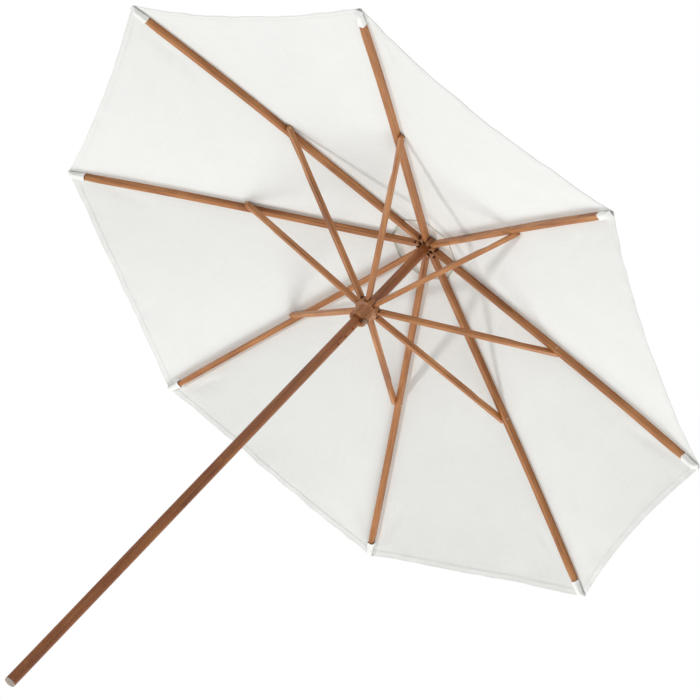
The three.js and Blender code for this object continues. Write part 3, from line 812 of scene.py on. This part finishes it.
def folds_of(panel_corner):
    pick = random.Random(panel_corner)
    rows = []
    for i in range(CORNER_FOLDS):
        rows.append({
            "height": pick.uniform(0.0026, 0.0050) * (1 if i else 1.3),
            "across": pick.uniform(0.035, 0.10),
            "width": pick.uniform(0.009, 0.016),
            "back": pick.uniform(0.07, 0.24),
            "length": pick.uniform(0.05, 0.11),
            "lean": pick.uniform(0.05, 0.4),
        })
    return rows


FOLDS = {(number, side): folds_of(10 * number + side) for number in range(1, RIBS + 1) for side in (-1, 1)}


def corner_folds(number, side, beside, back):
    height = 0.0
    for row in FOLDS[(number, side)]:
        off = (beside - row["across"] - row["lean"] * (back - row["back"])) / row["width"]
        away = (back - row["back"]) / row["length"]
        height += row["height"] * math.exp(-off * off - away * away)
    return height


def cloth_point(number, share, radius, lift=CLOTH_LIFT):
    """share runs from -0.5 to 0.5, from half-way to the rib before to half-way to the rib after."""
    side = 1 if share > 0 else -1
    other = (number - 1 + side) % RIBS + 1
    amount = abs(share)
    top = rib_top(radius) + lift
    place = outwards(number).lerp(outwards(other), amount) * radius
    place.z = top
    out = (radius - VENT_RADIUS) / (CANOPY_RADIUS - VENT_RADIUS)
    belly = 4 * amount * (1 - amount)
    place.z -= SAG * belly * max(0.0, out) ** 0.8
    inward = HEM_CURVE * belly * (radius / CANOPY_RADIUS) ** 5
    place -= Vector((place.x, place.y, 0)).normalized() * inward
    beside = amount * 2 * radius * math.sin(SECTOR / 2)
    other_side = (1 - amount) * 2 * radius * math.sin(SECTOR / 2)
    back = CANOPY_RADIUS - radius
    calm = 1 - math.exp(-((beside / 0.05) ** 2))
    ripple = RIPPLE * noise.noise(place * 2.6) + FINE_RIPPLE * noise.noise(place * 7 + Vector((5, 1, 0)))
    pucker = HEM_PUCKER * noise.noise(place * 17) * math.exp(-((back / 0.07) ** 2))
    along_vent = Vector((amount * 3 + number * 5, radius * 46, 0))
    pucker += VENT_PUCKER * noise.noise(along_vent) * math.exp(-(((radius - VENT_RADIUS) / 0.09) ** 2))
    folds = corner_folds(number, side, beside, back) + corner_folds(other, -side, other_side, back)
    place.z += calm * (ripple + pucker + folds)
    return place


print("canopy corner", [round(v, 3) for v in cloth_point(1, 0, CANOPY_RADIUS)])

# %% [markdown]
# ## Panels, hems and seams
# Each rib carries the cloth half-way to its neighbours, so that the canopy can close. The cloth is made in
# two halves, left and right of the rib, which meet at the seam over it. Each half turns with its rib. A grid
# is laid out flat in bmesh, then every point is moved onto the cloth surface. The flat places become the UV
# map, in metres.

# %% Laying cloth on the surface
CLOTH_THICKNESS = 0.0009
SIDES = {"left": 1, "right": -1}


def spread(value):
    """Grid lines stand closer together beside the rib, where the cloth bends over it."""
    return value**1.25 / 2


def lay_cloth(number, side, inner, outer, lift, across, out, surface=cloth_point):
    bm = bmesh.new()
    uv = bm.loops.layers.uv.new("grain")
    bmesh.ops.create_grid(bm, x_segments=across, y_segments=out, size=1)
    flat = {}
    for vert in bm.verts:
        share = side * spread((vert.co.x + 1) / 2)
        radius = inner + (outer - inner) * (vert.co.y + 1) / 2
        flat[vert.index] = Vector((share * 2 * radius * math.sin(SECTOR / 2), radius + 0.37 * number))
        vert.co = surface(number, share, radius, lift)
    for face in bm.faces:
        for loop in face.loops:
            loop[uv].uv = flat[loop.vert.index]
    bmesh.ops.recalc_face_normals(bm, faces=bm.faces)
    if sum(face.normal.z for face in bm.faces) < 0:
        bmesh.ops.reverse_faces(bm, faces=bm.faces)
    return bm


def thicken(piece, thickness, offset=0.0):
    shell = piece.modifiers.new("thickness", "SOLIDIFY")
    shell.thickness = thickness
    shell.offset = offset
    return piece


def gather(piece):
    """Gives the piece a mesh of its own."""
    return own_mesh(piece)


# %% [markdown]
# ## Panels
# The large half panels reach from the vent to the hem. Their grid is fine enough for the folds at the
# corners, and Solidify gives the cloth its thickness, so that the hem has an edge and not a knife's end.

# %% Panels
def chord(radius):
    return 2 * radius * math.sin(SECTOR / 2)


HALVES = [(number, name) for number in range(1, RIBS + 1) for name in SIDES]


def panel(number, name):
    bm = lay_cloth(number, SIDES[name], VENT_RADIUS, CANOPY_RADIUS, CLOTH_LIFT, 24, 66)
    piece = to_piece(bm, f"panel_{number}_{name}", canvas, f"rib_{number}", NO_CREASE)
    thicken(piece, CLOTH_THICKNESS)
    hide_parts(f"gore_{number}")
    return gather(piece)


panels = {half: panel(*half) for half in HALVES}
print("half panels:", len(panels), "each", len(panels[HALVES[0]].data.polygons), "faces")

# %% [markdown]
# ## Hems and seam tapes
# The hem is the panel's edge turned under and sewn down: a second, narrow layer just below the first. The
# seam between two panels lies over the rib, where a tape covers it from below. Both are strips of the same
# surface, moved down by their own thickness.

# %% Hems and seam tapes
HEM_WIDTH = 0.024
HEM_THICKNESS = 0.0008
HEM_DROP = 0.0011
HEM_OVERLAP = 0.0006
TAPE_HALF = 0.0155
TAPE_THICKNESS = 0.0006
TAPE_DROP = 0.0009


def tape_share(radius):
    return TAPE_HALF / chord(radius)


def hem(number, name):
    inner, outer = CANOPY_RADIUS - HEM_WIDTH, CANOPY_RADIUS + HEM_OVERLAP
    bm = lay_cloth(number, SIDES[name], inner, outer, CLOTH_LIFT - HEM_DROP, 24, 4)
    piece = to_piece(bm, f"hem_{number}_{name}", canvas, f"rib_{number}", NO_CREASE)
    thicken(piece, HEM_THICKNESS)
    return gather(piece)


def tape_surface(number, share, radius, lift):
    return cloth_point(number, share * 2 * tape_share(radius), radius, lift)


def seam_tape(number, name):
    low = CLOTH_LIFT - TAPE_DROP
    bm = lay_cloth(number, SIDES[name], VENT_RADIUS, CANOPY_RADIUS - HEM_WIDTH, low, 5, 60, tape_surface)
    piece = to_piece(bm, f"seam_tape_{number}_{name}", tape, f"rib_{number}", NO_CREASE)
    thicken(piece, TAPE_THICKNESS)
    return gather(piece)


hems = {half: hem(*half) for half in HALVES}
tapes = {half: seam_tape(*half) for half in HALVES}
print("hems:", len(hems), "seam tapes:", len(tapes))

# %% [markdown]
# ## Stitches
# Thread shows as short raised stitches in a row. An array on a curve would give the same row, but each
# panel would need its own curve. Here one small bead is made once, and all rows of one half panel are a
# single mesh, made by walking along the seams and adding the bead, stretched and turned, at every step.

# %% Rows of stitches
STITCH_PITCH = 0.0062
STITCH_LENGTH = 0.0044
THREAD_RADIUS = 0.00035
HEM_STITCH_DROP = 0.0019
TAPE_STITCH_DROP = 0.0014
STITCH_MARGIN = 0.003

bead_bm = bmesh.new()
bmesh.ops.create_uvsphere(bead_bm, u_segments=5, v_segments=4, radius=1)
bead = bpy.data.meshes.new("stitch_bead")
bead_bm.to_mesh(bead)
bead_bm.free()


def add_stitch(bm, place, along):
    turn_to = along.to_track_quat("X", "Z").to_matrix().to_4x4()
    size = Matrix.Diagonal((STITCH_LENGTH / 2, THREAD_RADIUS, THREAD_RADIUS, 1))
    bead_place = Matrix.Translation(place) @ turn_to @ size
    bead.transform(bead_place)
    bm.from_mesh(bead)
    bead.transform(bead_place.inverted())


def sew(bm, path):
    """path is a list of points close together; stitches are set along it at an even pitch."""
    left = STITCH_PITCH / 2
    count = 0
    for first, second in zip(path, path[1:]):
        step = second - first
        while left < step.length:
            add_stitch(bm, first + step.normalized() * left, step)
            left += STITCH_PITCH
            count += 1
        left -= step.length
    return count


def hem_path(number, side, back):
    below = CLOTH_LIFT - HEM_STITCH_DROP
    return [cloth_point(number, side * spread(i / 30), CANOPY_RADIUS - back, below) for i in range(31)]


def tape_path(number, side):
    below = CLOTH_LIFT - TAPE_STITCH_DROP
    radii = [VENT_RADIUS + (CANOPY_RADIUS - HEM_WIDTH - VENT_RADIUS) * i / 90 for i in range(91)]
    return [cloth_point(number, side * 0.8 * tape_share(r), r, below) for r in radii]


def stitching(number, name):
    bm = bmesh.new()
    side = SIDES[name]
    count = sew(bm, hem_path(number, side, HEM_WIDTH - STITCH_MARGIN))
    count += sew(bm, hem_path(number, side, STITCH_MARGIN))
    count += sew(bm, tape_path(number, side))
    piece = to_piece(bm, f"stitching_{number}_{name}", thread, f"rib_{number}", NO_CREASE)
    return gather(piece), count


sewn = {half: stitching(*half) for half in HALVES}
print("stitches:", sum(count for _, count in sewn.values()))

# %% [markdown]
# ## Rib pockets
# At each corner the end of the rib sits in a sewn pocket. It is a flat sleeve: a rounded rectangle at its
# open mouth, a little wider than the wood, which narrows and flattens to the corner of the canopy. Rings of
# points are placed along the rib and bridged, and Solidify gives the cloth its wall.

# %% Pockets
POCKET_LENGTH = 0.054
POCKET_RINGS = 9
POCKET_SIDES = 28
POCKET_WALL = 0.0012
POCKET_CREASING = 0.0012


def section(turn, half_width, half_height, squareness):
    """A point of a rounded rectangle: the higher the squareness, the tighter its corners."""
    c, s = math.cos(turn), math.sin(turn)
    return (
        math.copysign(abs(c) ** (2 / squareness), c) * half_width,
        math.copysign(abs(s) ** (2 / squareness), s) * half_height,
    )


def rib_point(number, distance, aside, over):
    along = bar_direction(number, -1)
    upwards = sideways(number).cross(along) * -1
    start = outwards(number) * PIVOT_RADIUS + Vector((0, 0, HUB_Z))
    return start + along * distance + sideways(number) * aside + upwards * over


def pocket_ring(bm, number, share):
    pick = random.Random(100 * number)
    end = (CANOPY_RADIUS - 0.001 - PIVOT_RADIUS) / math.cos(SLOPE)
    start = RIB_LENGTH - POCKET_LENGTH
    distance = start + (end - start) * share
    closing = max(0.0, (share - 0.74) / 0.26)
    flare = 0.0016 * math.exp(-share * 9)
    half_width = 0.0102 + flare - 0.0012 * share + 0.0015 * closing
    half_height = (0.0105 + flare * 0.5 - 0.0022 * share) * (1 - 0.80 * closing)
    middle = -bow(distance) - 0.0008 + 0.0072 * closing
    ring = []
    for i in range(POCKET_SIDES):
        aside, over = section(2 * math.pi * i / POCKET_SIDES, half_width, half_height, 5)
        place = rib_point(number, distance, aside, middle + over)
        crumple = noise.noise(place * 70 + Vector((pick.random() * 9, 0, 0)))
        place += Vector((0, 0, 1)) * POCKET_CREASING * crumple
        ring.append(bm.verts.new(place))
    return [bm.edges.new((ring[i], ring[(i + 1) % POCKET_SIDES])) for i in range(POCKET_SIDES)]


def pocket(number):
    bm = bmesh.new()
    rings = [pocket_ring(bm, number, i / (POCKET_RINGS - 1)) for i in range(POCKET_RINGS)]
    for first, second in zip(rings, rings[1:]):
        bmesh.ops.bridge_loops(bm, edges=first + second)
    bmesh.ops.recalc_face_normals(bm, faces=bm.faces)
    uv = bm.loops.layers.uv.new("grain")
    for face in bm.faces:
        for loop in face.loops:
            offset = loop.vert.co
            loop[uv].uv = (offset.dot(outwards(number)), offset.dot(sideways(number)) + offset.z)
    piece = to_piece(bm, f"pocket_{number}", pocket_cloth, f"rib_{number}", NO_CREASE)
    thicken(piece, POCKET_WALL, 1)
    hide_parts(f"rib_pocket_{number}")
    return piece


pockets = {number: pocket(number) for number in range(1, RIBS + 1)}
print("pockets:", len(pockets))

# %% [markdown]
# ## Vent cap
# A smaller canopy covers the opening at the top, so that wind can pass between the two. It is tied down at
# the ribs and lies slack between them. It is laid on the same surface, raised by its own height, and a
# narrow grey-green binding edges the opening below it. The binding's dark colour is partly painted shade
# for the gap between canopy and cap.

# %% Vent cap
CAP_INNER = 0.045
CAP_OUTER = 0.245
CAP_RISE = 0.0098
CAP_SLACK = 0.004
TRIM_LAP = 0.0008
TRIM_WIDTH = 0.008


def cap_surface(number, share, radius, lift):
    place = cloth_point(number, share, radius, lift)
    slack = 4 * abs(share) * (1 - abs(share))
    out = (radius - CAP_INNER) / (CAP_OUTER - CAP_INNER)
    place.z += slack * (CAP_SLACK * out + CAP_SLACK * noise.noise(place * 16))
    return place


def vent_cap(number, name):
    bm = lay_cloth(number, SIDES[name], CAP_INNER, CAP_OUTER, CLOTH_LIFT + CAP_RISE, 13, 16, cap_surface)
    # The cap takes the lighter canvas with a glow: painted light for daylight through the thin cap.
    piece = to_piece(bm, f"cap_panel_{number}_{name}", cap_canvas_painted_light, f"rib_{number}", NO_CREASE)
    thicken(piece, CLOTH_THICKNESS)
    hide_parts(f"vent_cap_{number}")
    return gather(piece)


def vent_trim_and_shade(number, name):
    # The binding's dark colour is partly painted shade for the gap between canopy and vent cap.
    inner, outer = VENT_RADIUS - TRIM_LAP, VENT_RADIUS + TRIM_WIDTH
    bm = lay_cloth(number, SIDES[name], inner, outer, CLOTH_LIFT - TAPE_DROP, 13, 2)
    piece = to_piece(bm, f"vent_trim_and_shade_{number}_{name}", trim_and_shade, f"rib_{number}", NO_CREASE)
    thicken(piece, TAPE_THICKNESS)
    return gather(piece)


caps = {half: vent_cap(*half) for half in HALVES}
trims_and_shade = {half: vent_trim_and_shade(*half) for half in HALVES}
print("vent cap halves:", len(caps), "bindings:", len(trims_and_shade))

# %% [markdown]
# ## Top patch
# A round patch under the finial covers the middle of the vent cap. It is spun like the turned pieces, and
# its outer part is then raised and lowered a little over the ribs and between them.

# %% Top patch
PATCH_EDGE = 0.063
PATCH_STIFF = 0.046
PATCH_WAVE = 0.0005

patch_outline = [(0.0045, 0.0247), (0.020, 0.0247), (0.033, 0.0246), (0.040, 0.0240), (0.045, 0.0234)]
patch_outline += [(0.052, 0.0224), (0.058, 0.0214), (PATCH_EDGE, 0.0205)]
patch_bm = turned(patch_outline, HUB_Z)
for vert in patch_bm.verts:
    if Vector((vert.co.x, vert.co.y)).length > PATCH_STIFF:
        vert.co.z += PATCH_WAVE * math.cos(2 * RIBS * math.atan2(vert.co.y, vert.co.x))
patch_uv = patch_bm.loops.layers.uv.new("grain")
for face in patch_bm.faces:
    for loop in face.loops:
        loop[patch_uv].uv = loop.vert.co.xy
patch = to_piece(patch_bm, "top_patch_cloth", canvas, "pole", NO_CREASE)
thicken(patch, CLOTH_THICKNESS)
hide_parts("top_patch")
print("patch faces:", len(patch.data.polygons))

# %% [markdown]
# ## Counting the cloth
# A panel is a long triangle with its point cut off at the vent. The number of sheets is printed.

# %% Sheets
print("sheets:", 2 * len(HALVES) + 1)
